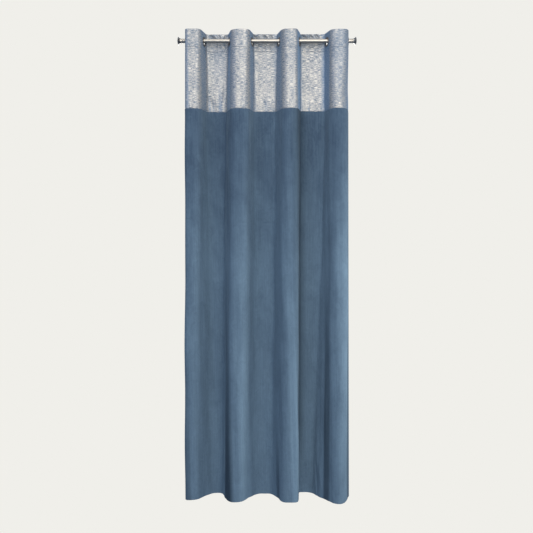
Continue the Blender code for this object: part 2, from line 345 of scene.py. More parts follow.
    def place(self, u: Array, z: Array, height: Array) -> Array:
        """Points that stand off the cloth's middle surface by a height towards the room."""
        place = self.plan(u, z) + height * self.front(u, z)
        return np.stack([place.real, place.imag, z], axis=-1)


def bump(t: Array) -> Array:
    """Bell of height 1 at 0 that falls to nothing by 1 on either side: (1 - t^2)^2."""
    return np.square(np.clip(1 - t * t, 0.0, 1.0))


def smooth_step(t: Array) -> Array:
    """Smooth rise from 0 to 1 as t goes from 0 to 1: t^2 (3 - 2 t)."""
    t = np.clip(t, 0.0, 1.0)
    return t * t * (3 - 2 * t)


# Meshes


def closed_sheet(front: Array, back: Array, faces: Array) -> tuple[Array, Array]:
    """Join a sheet's two skins along all of its edges.

    Args:
        front: Points of the skin towards the room, (n, 3).
        back: The same points on the other skin.
        faces: Four-sided faces of the front skin, counter-clockwise from the room.

    Returns:
        All points, and all faces of the closed body.
    """
    count = len(front)
    edges = np.stack([faces, np.roll(faces, -1, axis=1)], axis=2).reshape(-1, 2)
    keys = edges.min(axis=1) * count + edges.max(axis=1)
    _, first, times = np.unique(keys, return_index=True, return_counts=True)
    a, b = edges[first[times == 1]].T
    rims = np.stack([b, a, a + count, b + count], axis=1)
    backs = faces[:, ::-1] + count
    return np.vstack([front, back]), np.vstack([faces, backs, rims])


def make_piece(
    name: str, finish: Finish, points: Array, faces: list[Array], flat: Array | None = None
) -> bpy.types.Object:
    """Make a smooth-shaded, dressed object at the origin that rides on the part's body.

    Args:
        name: The piece's name.
        finish: Its finish, which also has its slot in the record.
        points: Its points, (n, 3), in metres.
        faces: Arrays of its faces, each (m, corners).
        flat: Flat place of each point, (n, 2), in metres, for a piece of cloth.

    Returns:
        The object, linked into the scene.
    """
    corners = np.concatenate([array.ravel() for array in faces]).astype(np.int32)
    sizes = np.concatenate([np.full(len(array), array.shape[1]) for array in faces])
    starts = np.concatenate([[0], np.cumsum(sizes)[:-1]]).astype(np.int32)
    mesh = bpy.data.meshes.new(name)
    mesh.vertices.add(len(points))
    mesh.vertices.foreach_set("co", points.astype(np.float32).ravel())
    mesh.loops.add(len(corners))
    mesh.loops.foreach_set("vertex_index", corners)
    mesh.polygons.add(len(sizes))
    mesh.polygons.foreach_set("loop_start", starts)
    mesh.update(calc_edges=True)
    if flat is not None:
        layer = mesh.uv_layers.new(name=FLAT_MAP)
        layer.data.foreach_set("uv", flat[corners].astype(np.float32).ravel())
    mesh.shade_smooth()
    mesh.validate()
    mesh.materials.append(finish.material)
    item = bpy.data.objects.new(name, mesh)
    bpy.context.scene.collection.objects.link(item)
    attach(item, BODY)
    finish.slot
    triangles = int(np.sum(sizes - 2))
    LOG.info("%s: %d triangles, %s mm", name, triangles, np.round(np.ptp(points, axis=0) / MM))
    return item


def grid_faces(rows: int, columns: int) -> Array:
    """Faces of a grid whose points run by row from the top, each row from the left."""
    corner = (np.arange(rows - 1)[:, None] * columns + np.arange(columns - 1)).ravel()
    return np.stack([corner, corner + columns, corner + columns + 1, corner + 1], axis=1)


def grid_points(rows: Array, columns: Array) -> Array:
    """Flat places (u, z) of a grid's points, by row, from the rows' z and columns' u."""
    z, u = np.meshgrid(rows, columns, indexing="ij")
    return np.stack([u.ravel(), z.ravel()], axis=1)


def spaced(stops: list[float], steps: list[float]) -> Array:
    """Values through the stops, evenly spaced between two stops by about the step given."""
    values = [np.array(stops[:1])]
    for start, end, step in zip(stops, stops[1:], steps):
        count = max(1, round(abs(end - start) / step))
        values.append(np.linspace(start, end, count + 1)[1:])
    return np.concatenate(values)


@dataclass(frozen=True)
class Axis:
    """Line that a turned piece is turned about, from a start in a level direction."""

    start: tuple[float, float, float]
    heading: float

    def turned(self, profile: Array, sides: int, poles: bool) -> tuple[Array, list[Array]]:
        """Turn a profile about the line.

        Args:
            profile: Points (radius, distance along the line), outer side ahead.
            sides: Points in each ring.
            poles: Whether the profile starts and ends on the line. If not, it is closed.

        Returns:
            The points, and the faces as one or two arrays.
        """
        along = np.array([math.cos(self.heading), math.sin(self.heading), 0.0])
        level = np.array([-along[1], along[0], 0.0])
        upright = np.cross(along, level)
        rings = profile[1:-1] if poles else profile
        angle = np.linspace(0.0, 2 * math.pi, sides, endpoint=False)
        around = np.cos(angle)[:, None] * level + np.sin(angle)[:, None] * upright
        body = rings[:, :1, None] * around + rings[:, 1, None, None] * along
        points = body.reshape(-1, 3)
        ring = np.arange(len(rings) * sides).reshape(-1, sides)
        ahead = ring[1:] if poles else np.roll(ring, -1, axis=0)
        here = ring[:-1] if poles else ring
        beside, beside_ahead = np.roll(here, -1, axis=1), np.roll(ahead, -1, axis=1)
        faces = [np.stack([here, beside, beside_ahead, ahead], axis=2).reshape(-1, 4)]
        if poles:
            points = np.vstack([points, profile[0, 1] * along, profile[-1, 1] * along])
            first, last = np.full(sides, len(points) - 2), np.full(sides, len(points) - 1)
            bottom = np.stack([first, np.roll(ring[0], -1), ring[0]], axis=1)
            top = np.stack([last, ring[-1], np.roll(ring[-1], -1)], axis=1)
            faces.append(np.vstack([bottom, top]))
        return points + np.array(self.start), faces


# Materials


def linear(hex_colour: str) -> tuple[float, float, float, float]:
    """Linear RGBA of an sRGB colour written as #rrggbb."""
    shares = [int(hex_colour[index : index + 2], 16) / 255 for index in (1, 3, 5)]
    red, green, blue = [s / 12.92 if s <= 0.04045 else ((s + 0.055) / 1.055) ** 2.4 for s in shares]
    return (red, green, blue, 1.0)


class Nodes:
    """A node tree in the making."""

    def __init__(self, tree: bpy.types.NodeTree) -> None:
        """Start from a tree that holds its output node."""
        self.tree = tree

    def node(self, kind: str, inputs: Inputs, output: str | int = 0, **settings: Any) -> Socket:
        """Add a node with its settings and links.

        Args:
            kind: The node's type after ShaderNode, such as "TexNoise".
            inputs: Value of, or output linked to, each input by its name or index, or
                those of the first inputs in order.
            output: Name or index of the output that is wanted.
            settings: Properties of the node.

        Returns:
            That output.
        """
        node = self.tree.nodes.new("ShaderNode" + kind)
        for key, value in settings.items():
            setattr(node, key, value)
        self.fill(node, inputs if isinstance(inputs, dict) else dict(enumerate(inputs)))
        return node.outputs[output]

    def fill(self, node: bpy.types.Node, inputs: dict[str | int, Any]) -> None:
        """Give inputs of a node their values or links."""
        for key, value in inputs.items():
            if isinstance(value, Socket):
                self.tree.links.new(value, node.inputs[key])
            else:
                node.inputs[key].default_value = value


class Surface(Nodes):
    """A material in the making."""

    def __init__(self, name: str) -> None:
        """Start a material of this name with its shader."""
        self.material = bpy.data.materials.new(name)
        self.material.use_nodes = True
        super().__init__(self.material.node_tree)

    def finished(self, inputs: dict[str | int, Any]) -> bpy.types.Material:
        """Give the shader its values and links, and return the material."""
        self.fill(self.tree.nodes["Principled BSDF"], inputs)
        return self.material


@dataclass(frozen=True)
class PaintedLine:
    """Upright line of the cloth along which light or shade is painted onto its folds.

    It runs at u from the left edge, is full over the middle half of its width, and
    grows from nothing at one height to its full share at the other.
    """

    u: float
    width: float
    fades_z: float
    full_z: float
    share: float


# Painted shade in the folds' valleys and along the two side edges: the pile is drawn dark there and
# without its sheen
PAINTED_VELVET_SHADE = rows_of(
    PaintedLine,
    (0.378, 0.100, -1.15, -2.25, 0.74), (0.743, 0.050, -2.05, -2.35, 0.45),
    (0.960, 0.160, -2.38, -2.05, 0.62), (1.188, 0.056, -1.20, -2.05, 0.62),
    (1.375, 0.070, 0.300, -2.00, 0.55), (0.064, 0.050, -1.50, -2.20, 0.35),
)

# Painted light on the velvet, drawn as stroked pile: high up on the folds' flanks, and low on folds
# 2 and 3
PAINTED_VELVET_LIGHT = rows_of(
    PaintedLine,
    (0.215, 0.100, -1.70, -0.75, 0.17), (0.600, 0.090, -1.40, -0.75, 0.17),
    (0.786, 0.130, -1.70, -0.75, 0.22), (0.908, 0.050, -1.20, -0.75, 0.16),
    (1.172, 0.116, -1.50, -0.75, 0.26), (0.505, 0.110, -1.40, -2.00, 0.26),
    (0.866, 0.056, -0.90, -2.00, 0.30),
)

# Painted shade on the header, drawn as blue yarn with less metal: its side edges, flanks and
# pleats, and the upper parts of gap 1 and fold 4
PAINTED_HEADER_SHADE = rows_of(
    PaintedLine,
    (0.095, 0.050, 0.60, -0.10, 0.40), (0.222, 0.090, 0.60, -0.10, 0.28),
    (0.320, 0.140, -0.30, -0.14, 0.10), (0.272, 0.018, -0.27, -0.35, 0.36),
    (0.292, 0.016, -0.29, -0.36, 0.30), (0.331, 0.026, -0.20, -0.34, 0.34),
    (0.696, 0.018, -0.28, -0.36, 0.24), (1.052, 0.016, -0.28, -0.36, 0.24),
    (0.428, 0.110, 0.60, -0.10, 0.30), (0.605, 0.085, 0.60, -0.10, 0.38),
    (0.795, 0.120, 0.60, -0.10, 0.36), (0.965, 0.110, 0.60, -0.10, 0.58),
    (1.163, 0.100, 0.60, -0.10, 0.70), (1.240, 0.200, -0.36, -0.22, 0.16),
    (1.330, 0.130, 0.60, -0.10, 0.38),
)


class ClothSurface(Surface):
    """A cloth's material in the making, on its flat coordinates: u across and z up."""

    def __init__(self, name: str) -> None:
        """Start a material of this name with its flat coordinates."""
        super().__init__(name)
        self.flat = self.node("UVMap", {}, uv_map=FLAT_MAP)
        self.u, self.z = (self.node("SeparateXYZ", (self.flat,), axis) for axis in (0, 1))

    def total(self, start: Socket | float, *spans: tuple[Any, ...]) -> Socket:
        """Start with each span's part added: a value, where it maps from, and where to."""
        for span in spans:
            part = self.node("MapRange", span)
            start = self.node("Math", (start, part), operation="ADD")
        return start

    def painted_share(self, lines: tuple[PaintedLine, ...]) -> Socket:
        """Share of painted light or shade: the greatest of the lines' shares.

        Args:
            lines: The lines along which light or shade is painted.

        Returns:
            The share at each place.
        """
        node, most = self.node, 0.0
        for line in lines:
            off = node("Math", (self.u, line.u), operation="SUBTRACT")
            off = node("Math", (off,), operation="ABSOLUTE")
            across = node("MapRange", (off, line.width / 2, line.width / 4, 0.0, line.share))
            down = node("MapRange", (self.z, line.fades_z, line.full_z, 0.0, 1.0))
            share = node("Math", (across, down), operation="MULTIPLY")
            most = node("Math", (most, share), operation="MAXIMUM")
        return most


@dataclass(frozen=True)
class Blotches:
    """Noise about 0.5 on the flat cloth, by the width and height of its blotches."""

    width: float
    height: float
    detail: float = 2.0
    distortion: float = 0.0

    def on(self, surface: ClothSurface) -> Socket:
        """The noise at each place of the flat cloth."""
        scale = (1 / self.width, 1 / self.height, 1.0)
        place = surface.node("Mapping", {"Vector": surface.flat, "Scale": scale})
        inputs = {"Scale": 1.0, "Detail": self.detail, "Distortion": self.distortion}
        return surface.node("TexNoise", {"Vector": place, **inputs}, noise_dimensions="2D")


@dataclass(frozen=True)
class VelvetFinish:
    """Cut-pile velvet of dyed polyester.

    The upright pile drinks in light that meets it square, and glows at its tips where
    it is lit aslant. Pile that was pressed or stroked lies in cloudy patches, and the
    weave draws it into faint upright streaks. Painted shade darkens the cloth below the
    seam, and painted light lightens it towards the hem. Painted shade lies in the folds'
    valleys and along the side edges, dark and without glow, and painted light lies on
    the folds' flanks.
    """

    deep: str = "#3c4e61"
    light: str = "#6d8699"
    tips: str = "#9fb8c8"
    # Colour of the painted shade in the folds' valleys and along the side edges
    painted_shade: str = "#24323e"
    # Each pattern with its share of the tone. The pile's tufts are too fine to show, so
    # the grain is drawn as coarse as it needs to be
    cloud: tuple[Blotches, float] = (Blotches(0.11, 0.19, 2.0, 0.6), 0.14)
    patch: tuple[Blotches, float] = (Blotches(0.026, 0.034, 4.0, 1.2), 0.12)
    streak: tuple[Blotches, float] = (Blotches(5.0 * MM, 0.16), 0.13)
    grain: tuple[Blotches, float] = (Blotches(1.8 * MM, 2.7 * MM, 3.0), 0.14)
    # Two heights, and what is added to the tone at each: painted shade under the seam, painted
    # light above the hem
    painted_seam_shade: tuple[float, ...] = (-1.201, -0.651, 0.0, -0.36)
    painted_hem_light: tuple[float, ...] = (-2.1, -1.5, 0.12, 0.0)
    sheen: float = 0.35
    patch_relief: float = 2.0 * MM
    grain_relief: float = 0.5 * MM

    def material(self) -> bpy.types.Material:
        """Make the material on the cloth's flat coordinates.

        The tone from deep to light is 0.5, with each noise's part of up to half its
        share either way, the painted shade under the seam, the painted light above the
        hem and the painted light lines added. The painted shade lines then darken the
        colour and take away the sheen.
        """
        surface = ClothSurface("blue_velvet")
        node, z = surface.node, surface.z
        patterns, shares = zip(self.cloud, self.patch, self.streak, self.grain)
        noises = [pattern.on(surface) for pattern in patterns]
        halves = [share / 2 for share in shares]
        tone = surface.total(
            0.5,
            *((noise, *NOISE_SPREAD, -half, half) for noise, half in zip(noises, halves)),
            # Painted shade under the seam and painted light above the hem
            (z, *self.painted_seam_shade),
            (z, *self.painted_hem_light),
            # Painted light on the folds' flanks and crest edges
            (surface.painted_share(PAINTED_VELVET_LIGHT), 0.0, 1.0, 0.0, 1.0),
        )
        mixed = {0: tone, 6: linear(self.deep), 7: linear(self.light)}
        colour = node("Mix", mixed, 2, data_type="RGBA")
        # Painted shade in the folds' valleys and along the side edges darkens the colour
        painted_shade = surface.painted_share(PAINTED_VELVET_SHADE)
        mixed = {0: painted_shade, 6: colour, 7: linear(self.painted_shade)}
        rough = {"Height": noises[1], "Distance": self.patch_relief, "Strength": 0.5}
        fine = {"Height": noises[3], "Distance": self.grain_relief, "Strength": 0.5}
        return surface.finished({
            "Base Color": node("Mix", mixed, 2, data_type="RGBA"),
            "Roughness": 0.9,
            "Specular IOR Level": 0.15,
            # Painted shade also takes away the sheen
            "Sheen Weight": node("MapRange", (painted_shade, 0.0, 1.0, self.sheen, 0.0)),
            "Sheen Roughness": 0.45,
            "Sheen Tint": linear(self.tips),
            "Normal": node("Bump", {**fine, "Normal": node("Bump", rough)}),
        })


@dataclass(frozen=True)
class YarnFinish:
    """Plain-woven cloth of blue yarn and uneven silver metallic yarn, both ways.

    Slubs are thicker runs of silver yarn, most of them across. Between them the blue
    ground shows, with a blue fuzz and, where light glances off the metallic yarn, a
    blue edge. Painted shade on the folds' flanks, in pleats and at the side edges turns
    the cloth to blue yarn with less metal. Over the eyelet band at the top the cloth
    has less silver and is duller, fading out some way below the band.
    """

    ground: str = "#5a6b7c"
    silver: str = "#cbc6bc"
    edge: str = "#5f86b4"
    fuzz: str = "#6392bc"
    # Colour of the painted shade on the header's flanks, pleats and side edges
    turned: str = "#58799a"
    # The threads are too fine to show, so slubs and weave are as coarse as they need to be
    across: Blotches = Blotches(22.0 * MM, 2.0 * MM)
    upward: Blotches = Blotches(2.0 * MM, 12.0 * MM)
    weave: Blotches = Blotches(1.1 * MM, 1.1 * MM)
    drift: Blotches = Blotches(0.05, 0.09)
    upward_lag: float = 0.09
    # Two values of the slubs, and the share of silver at each
    slub_share: tuple[float, ...] = (0.43, 0.66, 0.15, 0.95)
    weave_share: float = 0.15
    drift_share: float = 0.08
    # Two heights, and what is added to the share at each
    band: tuple[float, ...] = (-0.189, -0.049, 0.0, -0.09)
    metallic: float = 0.80
    slub_relief: float = 1.6 * MM
    weave_relief: float = 0.3 * MM

    def material(self) -> bpy.types.Material:
        """Make the material on the cloth's flat coordinates.

        The share of silver comes from the greater of the slubs across and, less by
        their lag, upward. The weave, the drift and the eyelet band are added to it.
        """
        surface = ClothSurface("metallic_yarn_cloth")
        node = surface.node
        patterns = (self.across, self.upward, self.weave, self.drift)
        across, upward, weave, drift = (pattern.on(surface) for pattern in patterns)
        slub = node("Math", (upward, self.upward_lag), operation="SUBTRACT")
        slub = node("Math", (across, slub), operation="MAXIMUM")
        share = surface.total(
            node("MapRange", (slub, *self.slub_share)),
            (weave, *NOISE_SPREAD, -self.weave_share, self.weave_share),
            (drift, *NOISE_SPREAD, -self.drift_share, self.drift_share),
            (surface.z, *self.band),
        )
        share = node("MapRange", (share, 0.0, 1.0, 0.0, 1.0))
        mixed = {0: share, 6: linear(self.ground), 7: linear(self.silver)}
        colour = node("Mix", mixed, 2, data_type="RGBA")
        # Painted shade on the flanks, pleats and side edges: the blue yarn's colour, and less metal
        turned = surface.painted_share(PAINTED_HEADER_SHADE)
        mixed = {0: turned, 6: colour, 7: linear(self.turned)}
        shining = node("MapRange", (turned, 0.0, 1.0, self.metallic, 0.0))
        rough = {"Height": slub, "Distance": self.slub_relief, "Strength": 0.6}
        fine = {"Height": weave, "Distance": self.weave_relief, "Strength": 0.5}
        return surface.finished({
            "Base Color": node("Mix", mixed, 2, data_type="RGBA"),
            "Metallic": node("Math", (share, shining), operation="MULTIPLY"),
            "Specular Tint": linear(self.edge),
            "Roughness": 0.42,
            "Sheen Weight": 0.66,
            "Sheen Roughness": 0.35,
            "Sheen Tint": linear(self.fuzz),
            "Normal": node("Bump", {**fine, "Normal": node("Bump", rough)}),
        })


@dataclass(frozen=True)
class MetalFinish:
    """Bare metal of one colour, with a faint grain in its gloss, drawn coarser than real."""

    name: str
    colour: str
    roughness: float
    grain: float = 0.6 * MM
    spread: tuple[float, float] = (0.85, 1.15)

    def material(self) -> bpy.types.Material:
        """Make the material on object coordinates, its roughness spread by the grain."""
        surface = Surface(self.name)
        place = surface.node("TexCoord", {}, "Object")
        inputs = {"Vector": place, "Scale": 1 / self.grain, "Detail": 2.0}
        grain = surface.node("TexNoise", inputs)
        span = [share * self.roughness for share in self.spread]
        gloss = surface.node("MapRange", (grain, *NOISE_SPREAD, *span))
        return surface.finished(
            {"Base Color": linear(self.colour), "Metallic": 1.0, "Roughness": gloss}
        )


@dataclass(frozen=True)
class ThreadFinish:
    """Spun polyester thread: matt, with a faint fuzz."""

    name: str
    colour: str

    def material(self) -> bpy.types.Material:
        """Make the material, of one plain colour."""
        return Surface(self.name).finished(
            {"Base Color": linear(self.colour), "Roughness": 0.6, "Sheen Weight": 0.3}
        )


class Finish(Enum):
    """The finishes that the curtain's pieces wear, each with its slot in the record."""

    VELVET = (VelvetFinish(), "velvet")
    HEADER = (YarnFinish(), "header_cloth")
    # Nickel plate on pressed steel: warm grey, with soft mirrored lights
    NICKEL = (MetalFinish("polished_nickel", "#948c84", 0.28), "eyelet_metal")
    # Drawn and brushed steel tube: paler, with broad dull lights
    STEEL = (MetalFinish("satin_steel", "#a8a49c", 0.34), "rod_metal")
    BLUE_THREAD = (ThreadFinish("blue_thread", "#3f536a"), "velvet")
    SILVER_THREAD = (ThreadFinish("grey_thread", "#66778a"), "header_cloth")

    @cached_property
    def material(self) -> bpy.types.Material:
        """The finish's material, made when it is first asked for."""
        return self.value[0].material()

    @property
    def slot(self) -> str:
        """The record's material slot."""
        return self.value[1]


# Pieces of the curtain


@dataclass(frozen=True)
class Ripple:
    """One slow wave in the cloth: its width, how far up it leans by one wave, its height."""

    width: float
    lean: float
    height: float
    phase: float


@dataclass(frozen=True)
class Stitching:
    """Machine stitches: their pitch, their length on the cloth, and the thread."""

    pitch: float = 4.0 * MM
    length: float = 3.1 * MM
    thread: float = 0.55 * MM
    rise: float = 0.10 * MM

    def run(self, start: float, end: float) -> Array:
        """Where the stitches of a line from start to end enter the cloth."""
        return start + self.pitch * np.arange(int((end - start) / self.pitch))

    def solid(self, starts: Array, ends: Array, outward: Array) -> tuple[Array, Array]:
        """Stitches as short threads that dip into the cloth at both ends.

        Each has three rings of four points, at its start, middle and end, and the end
        rings are half as wide and lie lower by half a thread.

        Args:
            starts: Where each stitch enters the cloth, (n, 3).
            ends: Where it leaves, (n, 3).
            outward: Direction away from the cloth, (n, 3).

        Returns:
            The points and the faces.
        """
        along = ends - starts
        along /= np.linalg.norm(along, axis=1, keepdims=True)
        beside = np.cross(along, outward)
        ring = np.stack([beside, outward, -beside, -outward], axis=1)
        rings = []
        for share, size in ((0.0, 0.5), (0.5, 1.0), (1.0, 0.5)):
            rise = self.rise - (1 - size) * self.thread
            middle = (1 - share) * starts + share * ends + rise * outward
            rings.append(middle[:, None] + size * self.thread / 2 * ring)
        points = np.stack(rings, axis=1)
        here = np.arange(4)
        beyond = np.roll(here, -1)
        side = np.stack([here, here + 4, beyond + 4, beyond], axis=1)
        one = np.vstack([side, side + 4, [[0, 1, 2, 3], [11, 10, 9, 8]]])
        faces = one[None] + 12 * np.arange(len(starts))[:, None, None]
        return points.reshape(-1, 3), faces.reshape(-1, 4)


@dataclass(frozen=True)
class Pucker:
    """Small waves that the seam draws up in the cloth, and that die away from it."""

    width: float
    height: float
    reach: float
    wander: tuple[float, float]

    def relief(self, u: Array, distance: Array) -> Array:
        """Sine across in the waves' width, with a wandering phase, times exp(-d / reach)."""
        amount, rate = self.wander
        wave = np.sin(2 * math.pi * u / self.width + amount * np.sin(u * rate))
        return self.height * wave * np.exp(-np.abs(distance) / self.reach)


@dataclass
class Cloth:
    """A panel of the curtain: a closed sheet with hems, creases and stitches.

    Its front skin stands half its thickness from the cloth's middle surface, and its
    relief is added to both skins. A hem is a second layer behind it.
    """

    drape: Drape
    thickness: float
    hem_layer: float
    pucker: Pucker
    creases: tuple[Crease, ...]
    top_z: float
    line_z: float
    foot_z: float
    stitch_trough: float
    hem_line: float = 13.0 * MM
    hem_step: float = 2.0 * MM
    edge_radius: float = 0.9 * MM
    edge_thinning: float = 0.9
    stitch_width: float = 6.0 * MM
    stitch_end: float = 6.0 * MM
    stitching: Stitching = field(default_factory=Stitching)

    def inside(self, u: Array) -> Array:
        """Distance from the nearer side edge."""
        return np.minimum(u, self.drape.cut_width - u)

    def edge_distance(self, u: Array, z: Array) -> Array:
        """Distance from the nearest free edge of the panel."""
        return self.inside(u)

    def trough(self, distance: Array) -> Array:
        """Depth to which a line of stitches pulls the cloth in."""
        return -self.stitch_trough * bump(distance / (self.stitch_width / 2))

    def relief(self, u: Array, z: Array) -> Array:
        """Height of creases, puckers at the seam and stitch lines, added to both skins."""
        height = self.pucker.relief(u, z - self.drape.seam_z)
        height = height + sum(crease.relief(u, z) for crease in self.creases)
        return height + self.trough(self.inside(u) - self.hem_line) + self.trough(z - self.line_z)

    def layers(self, u: Array, z: Array) -> Array:
        """Thickness that the doubled side hems add behind the cloth."""
        past = (self.inside(u) - self.hem_line) / self.hem_step
        return self.hem_layer * (1 - smooth_step(past))

    def make_sheet(self, name: str, finish: Finish, flat: Array, faces: Array) -> bpy.types.Object:
        """Make the panel as a closed sheet, its thickness rounded off at free edges.

        Within the edge's radius r, at a distance d from the edge, each skin keeps the
        share sqrt(1 - thinning (1 - d / r)^2) of its half thickness.

        Args:
            name: The piece's name.
            finish: Its finish.
            flat: Distance from the left edge and height of each point, (n, 2).
            faces: Faces of the front skin.

        Returns:
            The object.
        """
        u, z = flat.T
        near = np.clip(1 - self.edge_distance(u, z) / self.edge_radius, 0.0, 1.0)
        half = self.thickness / 2 * np.sqrt(1 - self.edge_thinning * near * near)
        middle = self.relief(u, z)
        front = self.drape.place(u, z, middle + half)
        back = self.drape.place(u, z, middle - half - self.layers(u, z))
        points, faces = closed_sheet(front, back, faces)
        return make_piece(name, finish, points, [faces], np.vstack([flat, flat]))

    def make_stitches(self, name: str, finish: Finish) -> bpy.types.Object:
        """Make the stitches of the two side hems and of the level line as one piece.

        Args:
            name: The piece's name.
            finish: Its finish.

        Returns:
            The object.
        """
        right = self.drape.cut_width - self.hem_line
        up = self.stitching.run(self.foot_z + self.stitch_end, self.top_z - self.stitch_end)
        across = self.stitching.run(self.hem_line, right)
        u = np.concatenate([np.full_like(up, self.hem_line), np.full_like(up, right), across])
        z = np.concatenate([up, up, np.full_like(across, self.line_z)])
        level = np.arange(len(u)) >= 2 * len(up)
        ends = []
        for step in (0.0, self.stitching.length):
            end = u + step * level, z + step * ~level
            ends.append(self.drape.place(*end, self.relief(*end) + self.thickness / 2))
        front = self.drape.front(u, z)
        outward = np.stack([front.real, front.imag, np.zeros_like(u)], axis=1)
        points, faces = self.stitching.solid(*ends, outward)
        return make_piece(name, finish, points, [faces])


RIPPLES = (
    Ripple(0.071, 0.9, 0.8 * MM, 0.4),
    Ripple(0.113, -1.3, 1.2 * MM, 2.1),
    Ripple(0.043, 2.2, 0.35 * MM, 4.0),
    Ripple(0.167, 0.55, 1.0 * MM, 5.2),
)

# In the velvet, bends above the hem, long soft folds and three level fold marks in the
# middle, and short bends under the seam
VELVET_CREASES = creases(
    (1112, -2350, 260, 30, -7, -6), (1140, -2330, 200, 24, 2.5, -8),
    (318, -2350, 160, 26, -4.5, 9), (365, -2360, 140, 22, 1.8, 7),
    (705, -2360, 130, 26, -2, -10), (1112, -1950, 950, 44, 2.6, 0),
    (1160, -1950, 1100, 50, -3.4, 0), (505, -974, 90, 14, -2.4, 90),
    (690, -974, 80, 14, -2.4, 90), (915, -996, 60, 14, -2.4, 90),
    (520, -1200, 900, 45, 1.6, 1), (1290, -1300, 1200, 50, 1.8, -1),
    (300, -470, 170, 26, -2, 4), (345, -450, 140, 20, -1.8, -6),
    (702, -460, 160, 26, -2.2, 3), (735, -440, 120, 18, 1.4, -5),
    (1060, -450, 150, 22, -1.8, 5), (1100, -460, 180, 24, -2, -4),
)


@dataclass
class VelvetPanel(Cloth):
    """Velvet from the seam under the header down to the hem."""

    roll: float = 1.0 * MM
    roll_reach: float = 4.0 * MM
    roll_depth: float = 0.6
    allowance: float = 14.0 * MM
    ripple_inset: float = 0.05
    ripple_start: float = 0.12

    def edge_distance(self, u: Array, z: Array) -> Array:
        """Distance from the nearest of the side edges, the seam and the hem."""
        upright = np.minimum(self.top_z - z, z - self.foot_z)
        return np.minimum(super().edge_distance(u, z), upright)

    def relief(self, u: Array, z: Array) -> Array:
        """Height with slow ripples, and with the velvet rolled in to the seam.

        A ripple is a sine of the distance across, in its wave's width, that shifts by
        one wave for each lean of height. The roll rises as a square root from its depth.

        Args:
            u: Distances from the cloth's left edge.
            z: Heights.

        Returns:
            The panel's relief.
        """
        below = self.top_z - z
        height = super().relief(u, z)
        ease = smooth_step(self.inside(u) / self.ripple_inset)
        ease = ease * smooth_step(below / self.ripple_start)
        for ripple in RIPPLES:
            wave = np.sin(2 * math.pi * (u / ripple.width + z / ripple.lean) + ripple.phase)
            height = height + ripple.height * ease * wave
        rise = np.sqrt(np.clip(below / self.roll_reach, 0.0, 1.0))
        return height + self.roll * (rise - self.roll_depth)

    def layers(self, u: Array, z: Array) -> Array:
        """Thickness of the hems, the seam allowance and the turned-up bottom hem behind."""
        step = self.hem_step
        bottom = 1 - smooth_step((z - self.line_z - step) / step)
        allowance = 1 - smooth_step((self.top_z - z - self.allowance) / step)
        doubled = np.maximum(bottom, allowance)
        return np.maximum(super().layers(u, z), self.hem_layer * doubled)

    def make(self, name: str, finish: Finish) -> bpy.types.Object:
        """Make the panel as a grid that is fine at its edges, seam and hem lines.

        Args:
            name: The piece's name.
            finish: Its finish.

        Returns:
            The object.
        """
        width, seam, line, hem = self.drape.cut_width, self.top_z, self.line_z, self.foot_z
        inset = [0.0, 1 * MM, 10 * MM, 15 * MM, 22 * MM]
        steps = [0.5 * MM, 3 * MM, 1.3 * MM, 3.5 * MM]
        right = [width - stop for stop in reversed(inset)]
        columns = spaced(inset + right, steps + [4.7 * MM] + steps[::-1])
        rows = spaced(
            [seam, seam - 1 * MM, seam - 5 * MM, seam - 0.060, seam - 0.23, -0.955, -1.015,
             line + 0.09, line + 5 * MM, line - 5 * MM, hem + 0.014, hem + 1 * MM, hem],
            [0.5 * MM, 1 * MM, 4.5 * MM, 10 * MM, 28 * MM, 5 * MM, 28 * MM, 8 * MM,
             1.7 * MM, 7.5 * MM, 3.3 * MM, 0.5 * MM],
        )
        flat = grid_points(rows, columns)
        return self.make_sheet(name, finish, flat, grid_faces(len(rows), len(columns)))


# In the header, pleats that fan up from the seam, sharp ones above and under the rod,
# and the fuller crests of folds 2 and 3
HEADER_CREASES = creases(
    (337.5, -290, 190, 26, -4.2, 8), (278, -320, 130, 30, -2.6, -20),
    (260, -325, 90, 22, -2, -14), (246, -310, 120, 18, -2.2, -5),
    (308, -320, 100, 18, 2.2, -4), (360, -330, 80, 13, 2.2, 4),
    (326, -24, 44, 13, -5, 6), (344, -24, 40, 12, -4.5, -8),
    (368, -24, 36, 12, -4, -25), (298, 32, 60, 20, -10, -48),
    (319, 34, 50, 14, 5, -40), (340, 30, 55, 17, -8, -30),
    (370, 28, 50, 18, -8, 24), (642, 30, 60, 20, -10, -48),
    (666, 36, 50, 14, 5, -40), (698, 30, 60, 19, -10, -42),
    (730, 32, 55, 18, -9, -26), (694, -24, 46, 13, -5.5, -32),
    (720, -26, 46, 12, -4.5, -35), (655, -22, 40, 12, -4, 14),
    (1018, 34, 70, 20, -10, -55), (1040, 36, 50, 14, 5, -45),
    (1062, 32, 60, 19, -10, -44), (1095, 32, 55, 18, -9, -46),
    (1064, -21, 60, 16, -6.5, 80), (1095, -26, 50, 12, -3.5, 70),
    (514, 0, 740, 100, 5, 0), (886, 0, 740, 100, 5, 0),
    (900, -335, 70, 12, -2.2, 6), (875, -340, 60, 10, -2, -8),
    (690, -335, 70, 12, -2.2, 3), (730, -340, 60, 12, -2, -7),
    (1050, -335, 70, 12, -2.2, -4), (1090, -335, 70, 12, -2.4, 5),
    (130, -340, 60, 11, -1.4, 4), (520, -345, 50, 11, -1.4, -4),
)


